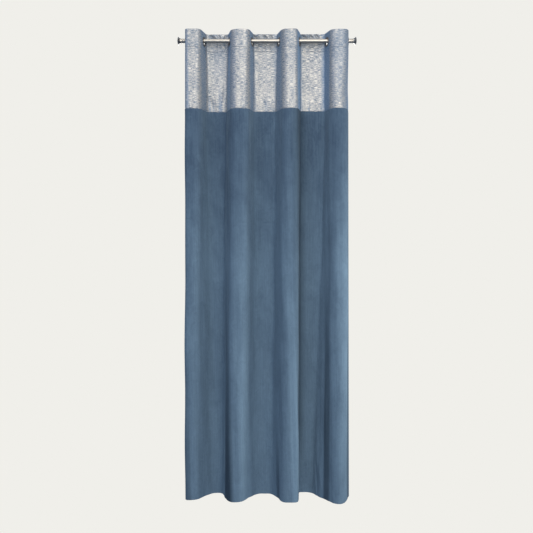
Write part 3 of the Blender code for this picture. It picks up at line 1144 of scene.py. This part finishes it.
@dataclass
class HeaderPanel(Cloth):
    """Header cloth with a doubled eyelet band at its top and eight eyelet holes."""

    hole: float = 19.8 * MM
    patch_half: float = 27.0 * MM
    patch_steps: int = 12
    patch_fade: float = 12.0 * MM
    ring_count: int = 4
    tuck: float = 0.8 * MM
    foot_dip: float = 1.2 * MM
    foot_reach: float = 4.0 * MM

    def edge_distance(self, u: Array, z: Array) -> Array:
        """Distance from the nearest of the side edges and the top edge."""
        return np.minimum(super().edge_distance(u, z), self.top_z - z)

    def clear_of_eyelets(self, u: Array, z: Array) -> Array:
        """0 under the eyelets' rims, and 1 from a fade's width outside them."""
        nearest = np.full_like(u, 1.0)
        for centre in self.drape.eyelet_u:
            nearest = np.minimum(nearest, np.hypot(u - centre, z - self.drape.eyelet_z))
        return smooth_step((nearest - self.patch_half) / self.patch_fade)

    def relief(self, u: Array, z: Array) -> Array:
        """Height, flat under the eyelets' rims, with the foot dipped in to the seam."""
        dip = self.foot_dip * bump((z - self.foot_z) / self.foot_reach)
        return super().relief(u, z) * self.clear_of_eyelets(u, z) - dip

    def layers(self, u: Array, z: Array) -> Array:
        """Thickness of the doubled band and the side hems behind the cloth."""
        band = smooth_step((z - self.line_z + 2 * self.hem_step) / self.hem_step)
        doubled = np.maximum(super().layers(u, z), self.hem_layer * band)
        return doubled * self.clear_of_eyelets(u, z)

    def columns(self) -> Array:
        """Grid columns, with even steps over each eyelet's square patch."""
        width, half = self.drape.cut_width, self.patch_half
        stops, steps = [0.0, 1 * MM, 10 * MM, 15 * MM], [0.5 * MM, 3 * MM, 1.3 * MM]
        for centre in self.drape.eyelet_u:
            stops += [centre - half, centre + half]
            steps += [4 * MM, 2 * half / self.patch_steps]
        steps += [4 * MM, 1.3 * MM, 3 * MM, 0.5 * MM]
        return spaced(stops + [width - 15 * MM, width - 10 * MM, width - 1 * MM, width], steps)

    def rows(self) -> Array:
        """Grid rows, with even steps over the eyelets' patches, fine at edge and seams."""
        top, line, seam = self.top_z, self.line_z, self.foot_z
        high, low = self.drape.eyelet_z + self.patch_half, self.drape.eyelet_z - self.patch_half
        return spaced(
            [top, top - 1 * MM, high, low, line + 4 * MM, line - 4 * MM,
             seam + 0.03, seam + 4 * MM, seam - self.tuck],
            [0.5 * MM, 4 * MM, 2 * self.patch_half / self.patch_steps, 3.5 * MM, 1.4 * MM,
             4.2 * MM, 3.5 * MM, 0.8 * MM],
        )

    def make(self, name: str, finish: Finish) -> bpy.types.Object:
        """Make the header as a grid, with rings of faces from each patch in to its hole.

        A ring's points run evenly from the patch's square to the hole's circle.

        Args:
            name: The piece's name.
            finish: Its finish.

        Returns:
            The object.
        """
        rows, columns = self.rows(), self.columns()
        flat = grid_points(rows, columns)
        eyelet_z = self.drape.eyelet_z
        faces = grid_faces(len(rows), len(columns))
        middle_u, middle_z = flat[faces].mean(axis=1).T
        centres = self.drape.eyelet_u
        beside = np.abs(middle_u[:, None] - centres).min(axis=1) < self.patch_half
        inside = beside & (np.abs(middle_z - eyelet_z) < self.patch_half)
        parts = [faces[~inside]]
        angle = np.linspace(0.0, 2 * math.pi, 4 * self.patch_steps, endpoint=False)
        circle = np.stack([np.cos(angle), np.sin(angle)])
        square = np.clip(math.sqrt(2) * circle, -1.0, 1.0)
        steps = np.round(square * self.patch_steps / 2).astype(int)
        centre_row = int(np.argmin(np.abs(rows - eyelet_z)))
        shares = np.linspace(0.0, 1.0, self.ring_count + 1)[1:, None, None]
        for centre in centres:
            column = int(np.argmin(np.abs(columns - centre)))
            outer = (centre_row - steps[1]) * len(columns) + column + steps[0]
            hole = np.array([centre, eyelet_z]) + self.hole * circle.T
            added = ((1 - shares) * flat[outer] + shares * hole).reshape(-1, 2)
            inner = len(flat) + np.arange(len(added)).reshape(self.ring_count, -1)
            rings = np.vstack([outer, inner])
            after = np.roll(rings, -1, axis=1)
            quads = np.stack([rings[:-1], after[:-1], after[1:], rings[1:]], axis=2)
            parts.append(quads.reshape(-1, 4))
            flat = np.vstack([flat, added])
        used, faces = np.unique(np.vstack(parts), return_inverse=True)
        return self.make_sheet(name, finish, flat[used], faces.reshape(-1, 4))


@dataclass(frozen=True)
class Eyelets:
    """Eight two-part eyelets, each square to the cloth that it holds."""

    drape: Drape
    bore: float = 16.5 * MM
    sleeve: float = 18.5 * MM
    rim: float = 25.0 * MM
    crown: float = 2.5 * MM
    crown_foot: float = 0.2
    crown_power: float = 0.7
    groove: float = 1.1 * MM
    lip: float = 0.4 * MM
    crown_steps: int = 15
    sides: int = 64

    def profile(self) -> Array:
        """Closed profile: a sleeve between two flanges with crowned faces.

        A flange's face runs from the rim in to the bore, and rises from the crown's
        foot as a power of the sine.
        """
        angle = np.linspace(0.0, math.pi, self.crown_steps)
        middle, reach = (self.rim + self.bore) / 2, (self.rim - self.bore) / 2
        radius = middle + reach * np.cos(angle)
        rise = (1 - self.crown_foot) * np.sin(angle) ** self.crown_power
        height = self.groove + self.crown * (self.crown_foot + rise)
        face = np.stack([radius, height], axis=1)
        inner = [[self.sleeve, self.groove], [self.rim - self.lip, self.groove]]
        half = np.vstack([inner, face])
        return np.vstack([half, half[::-1] * np.array([1.0, -1.0])])

    def make(self) -> list[bpy.types.Object]:
        """Make the eight eyelets in their places on the cloth."""
        u = self.drape.eyelet_u
        z = np.full_like(u, self.drape.eyelet_z)
        places = self.drape.plan(u, z)
        across = self.drape.plan(u + self.sleeve, z) - self.drape.plan(u - self.sleeve, z)
        headings = np.angle(across) - math.pi / 2
        eyelets = []
        for number, (place, heading) in enumerate(zip(places, headings), start=1):
            axis = Axis((place.real, place.imag, self.drape.eyelet_z), heading)
            points, faces = axis.turned(self.profile(), self.sides, poles=False)
            eyelet = make_piece(f"eyelet_ring_{number}", Finish.NICKEL, points, faces)
            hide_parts(f"eyelet_{number}")
            eyelets.append(eyelet)
        return eyelets


@dataclass(frozen=True)
class Rod:
    """Rod along X with a trumpet finial in each end."""

    radius: float = 11.0 * MM
    length: float = 0.907
    chamfer: float = 0.8 * MM
    chamfer_middle: float = 0.3
    socket: float = 8.0 * MM
    socket_depth: float = 20.0 * MM
    spigot: float = 7.7 * MM
    spigot_length: float = 18.0 * MM
    gap: float = 0.3 * MM
    flare_length: float = 20.0 * MM
    flare_radius: float = 21.0 * MM
    flare_power: float = 2.4
    dome: float = 5.0 * MM
    sides: int = 96

    def tube_profile(self) -> Array:
        """Profile of the rod, from the bottom of one socket to the bottom of the other."""
        half, cut = self.length / 2, self.chamfer_middle * self.chamfer
        end = np.array([
            (self.radius, half - 4 * self.chamfer),
            (self.radius, half - self.chamfer),
            (self.radius - cut, half - cut),
            (self.radius - self.chamfer, half),
            (self.socket, half),
            (self.socket, half - self.socket_depth),
            (0.0, half - self.socket_depth),
        ])
        return np.vstack([end[::-1] * np.array([1.0, -1.0]), end])

    def finial_profile(self) -> Array:
        """Profile of a finial: spigot, neck, flare that opens as a power, lip and dome."""
        share = np.linspace(0.02, 1.0, 22)
        flare = self.radius + (self.flare_radius - self.radius) * share**self.flare_power
        lip = np.radians([5.0, 25.0, 50.0, 75.0])
        rim, top = self.flare_radius - self.chamfer, self.flare_length
        angle = np.radians(np.linspace(12.0, 82.0, 12))
        return np.vstack([
            [(0.0, -self.spigot_length), (self.spigot, -self.spigot_length), (self.spigot, 0.0)],
            [(self.radius - self.chamfer, 0.0)],
            np.stack([flare, share * top], axis=1),
            np.stack([rim + self.chamfer * np.cos(lip), top + self.chamfer * np.sin(lip)], axis=1),
            np.stack([(rim - 0.5 * MM) * np.cos(angle), top + self.dome * np.sin(angle)], axis=1),
            [(0.0, top + self.dome)],
        ])

    def make(self) -> None:
        """Make the rod and its two finials."""
        end = self.length / 2 + self.gap
        for name, node, x, heading, profile in (
            ("rod_tube", "rod", 0.0, 0.0, self.tube_profile()),
            ("trumpet_left", "finial_left", -end, math.pi, self.finial_profile()),
            ("trumpet_right", "finial_right", end, 0.0, self.finial_profile()),
        ):
            points, faces = Axis((x, 0.0, 0.0), heading).turned(profile, self.sides, poles=True)
            piece = make_piece(name, Finish.STEEL, points, faces)
            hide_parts(node)


# Room


@dataclass(frozen=True)
class SoftBox:
    """A square-on studio light: where it is, where it points, its size and power."""

    name: str
    place: tuple[float, float, float]
    target: tuple[float, float, float]
    size: tuple[float, float]
    power: float
    colour: str = "#ffffff"

    def make(self) -> None:
        """Make the light."""
        light = bpy.data.lights.new(self.name, "AREA")
        light.shape = "RECTANGLE"
        light.size, light.size_y = self.size
        light.energy = self.power
        light.color = linear(self.colour)[:3]
        lamp = bpy.data.objects.new(self.name, light)
        lamp.location = self.place
        way = Vector(self.target) - Vector(self.place)
        lamp.rotation_euler = way.to_track_quat("-Z", "Y").to_euler()
        lamp.visible_camera = False
        bpy.context.scene.collection.objects.link(lamp)


SOFT_BOXES = (
    SoftBox("key", (0.8, -4.3, 0.0), (0.0, 0.0, -1.0), (3.4, 3.8), 158.0, "#fffaf3"),
    SoftBox("right", (1.5, -0.31, -1.35), (0.0, 0.0, -1.35), (0.4, 1.0), 17.0, "#fffaf2"),
    SoftBox("left", (-2.2, -2.4, 0.9), (0.0, 0.0, 0.0), (1.0, 1.2), 12.0, "#b4ccff"),
    SoftBox("top", (0.0, -1.6, 2.2), (0.0, 0.0, 0.0), (4.2, 2.4), 70.0, "#fff8ee"),
    SoftBox("back", (0.0, 4.4, 0.2), (0.0, 0.0, -1.2), (1.4, 2.4), 110.0),
)


@dataclass(frozen=True)
class Studio:
    """Pale seamless studio, its lights, and the camera at the photograph's angle."""

    pale: str = "#f0efea"
    shade: str = "#aec7ec"
    ambient: float = 0.37
    floor_z: float = -2.5
    floor_half: float = 60.0
    boxes: tuple[SoftBox, ...] = SOFT_BOXES
    camera_place: tuple[float, float, float] = (-0.0027, -3.3, -1.078)
    lens: float = 41.67
    shift_y: float = -0.045

    def make_world(self) -> None:
        """Pale surroundings that are seen as such, and light the curtain only dimly."""
        world = bpy.data.worlds.new("studio")
        world.use_nodes = True
        nodes = Nodes(world.node_tree)
        shade, output = (nodes.tree.nodes[name] for name in ("Background", "World Output"))
        nodes.fill(shade, {"Color": linear(self.shade), "Strength": self.ambient})
        seen = nodes.node("Background", {"Color": linear(self.pale)})
        straight = nodes.node("LightPath", {}, "Is Camera Ray")
        nodes.fill(output, {0: nodes.node("MixShader", (straight, shade.outputs[0], seen))})
        bpy.context.scene.world = world

    def make_floor(self) -> None:
        """Plain pale floor of the same tone as the surroundings."""
        half = self.floor_half
        mesh = bpy.data.meshes.new("floor")
        corners = [(-half, -half, 0.0), (half, -half, 0.0), (half, half, 0.0), (-half, half, 0.0)]
        mesh.from_pydata(corners, [], [(0, 1, 2, 3)])
        floor = bpy.data.objects.new("floor", mesh)
        floor.location.z = self.floor_z
        bpy.context.scene.collection.objects.link(floor)
        mesh.materials.append(Surface("pale_floor").finished({
            "Base Color": (0.0, 0.0, 0.0, 1.0),
            "Specular IOR Level": 0.0,
            "Emission Color": linear(self.pale),
            "Emission Strength": 1.0,
        }))
        floor.visible_diffuse = False
        floor.visible_glossy = False

    def make_camera(self) -> None:
        """Level camera, square to the rod, a little below the curtain's middle."""
        camera = bpy.data.cameras.new("camera")
        camera.lens = self.lens
        camera.shift_y = self.shift_y
        item = bpy.data.objects.new("camera", camera)
        item.location = self.camera_place
        item.rotation_euler = (math.pi / 2, 0.0, 0.0)
        bpy.context.scene.collection.objects.link(item)
        bpy.context.scene.camera = item

    def make(self) -> None:
        """Make the world, the floor, the lights and the camera."""
        bpy.context.scene.view_settings.view_transform = "Standard"
        self.make_world()
        self.make_floor()
        for box in self.boxes:
            box.make()
        self.make_camera()


@dataclass(frozen=True)
class Curtain:
    """The whole curtain: header, velvet, stitches, eyelets and rod."""

    drape: Drape = field(default_factory=Drape)
    band: float = 0.095
    bottom_hem: float = 0.110

    @property
    def header(self) -> HeaderPanel:
        """The header panel, with its eyelet band stitched down at its lower edge."""
        drape = self.drape
        return HeaderPanel(
            drape,
            thickness=1.6 * MM,
            hem_layer=0.9 * MM,
            pucker=Pucker(0.015, 0.45 * MM, 0.024, (2.6, 17.0)),
            creases=HEADER_CREASES,
            top_z=drape.top_z,
            line_z=drape.top_z - self.band,
            foot_z=drape.seam_z,
            stitch_trough=1.3 * MM,
        )

    @property
    def velvet(self) -> VelvetPanel:
        """The velvet panel, with its bottom hem stitched down at its upper edge."""
        drape = self.drape
        return VelvetPanel(
            drape,
            thickness=2.4 * MM,
            hem_layer=1.6 * MM,
            pucker=Pucker(0.017, 0.7 * MM, 0.022, (2.2, 21.0)),
            creases=VELVET_CREASES,
            top_z=drape.seam_z,
            line_z=drape.hem_z + self.bottom_hem,
            foot_z=drape.hem_z,
            stitch_trough=0.5 * MM,
        )

    def make(self) -> None:
        eyelets = Eyelets(self.drape).make()
        Rod().make()
        for name, panel, cloth_finish, thread, rests_on, held in (
            ("header", self.header, Finish.HEADER, Finish.SILVER_THREAD, "rod_tube", eyelets),
            ("velvet", self.velvet, Finish.VELVET, Finish.BLUE_THREAD, "header_cloth", []),
        ):
            cloth = panel.make(f"{name}_cloth", cloth_finish)
            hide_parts(f"{name}_panel")
            stitches = panel.make_stitches(f"{name}_stitches", thread)
            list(held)


def main() -> None:
    """Load the frame, then make the studio and the dressed curtain."""
    logging.basicConfig(level=logging.INFO, format="%(name)s: %(message)s")
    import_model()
    Studio().make()
    Curtain().make()


if __name__ == "__main__":
    main()
